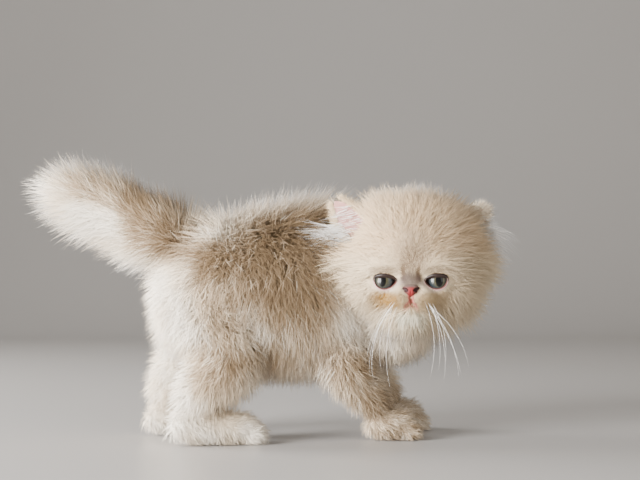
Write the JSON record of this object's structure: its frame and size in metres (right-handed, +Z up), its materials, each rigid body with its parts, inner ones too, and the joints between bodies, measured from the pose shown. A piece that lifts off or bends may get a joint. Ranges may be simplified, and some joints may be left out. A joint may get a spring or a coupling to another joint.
{
  "type": "persian cat kitten, life-size still model",
  "caption": "Life-size still model of a standing long-haired cream kitten, body in profile, head turned to its right, brush tail held up behind.",
  "frame": {"origin": "on the floor, under the middle of the kitten's bounding box", "axes": "+X the way the body faces, along its longest extent, +Y to the kitten's left, +Z up"},
  "size_m": [0.2964, 0.1548, 0.1817],
  "materials": {
    "coat": "soft long fur, cream with a buff saddle",
    "eye": "wet gloss",
    "nose": "fine-grained, slightly moist"
  },
  "bodies": {
    "root": {"head": "coat", "nose": "nose", "eye_right": "eye", "eye_left": "eye", "ear_right": "coat", "ear_left": "coat", "neck": "coat", "torso": "coat", "tail": "coat", "foreleg_right": "coat", "foreleg_left": "coat", "forepaw_right": "coat", "forepaw_left": "coat", "hind_leg_right": "coat", "hind_leg_left": "coat", "hind_paw_right": "coat", "hind_paw_left": "coat"}
  },
  "joints": []
}
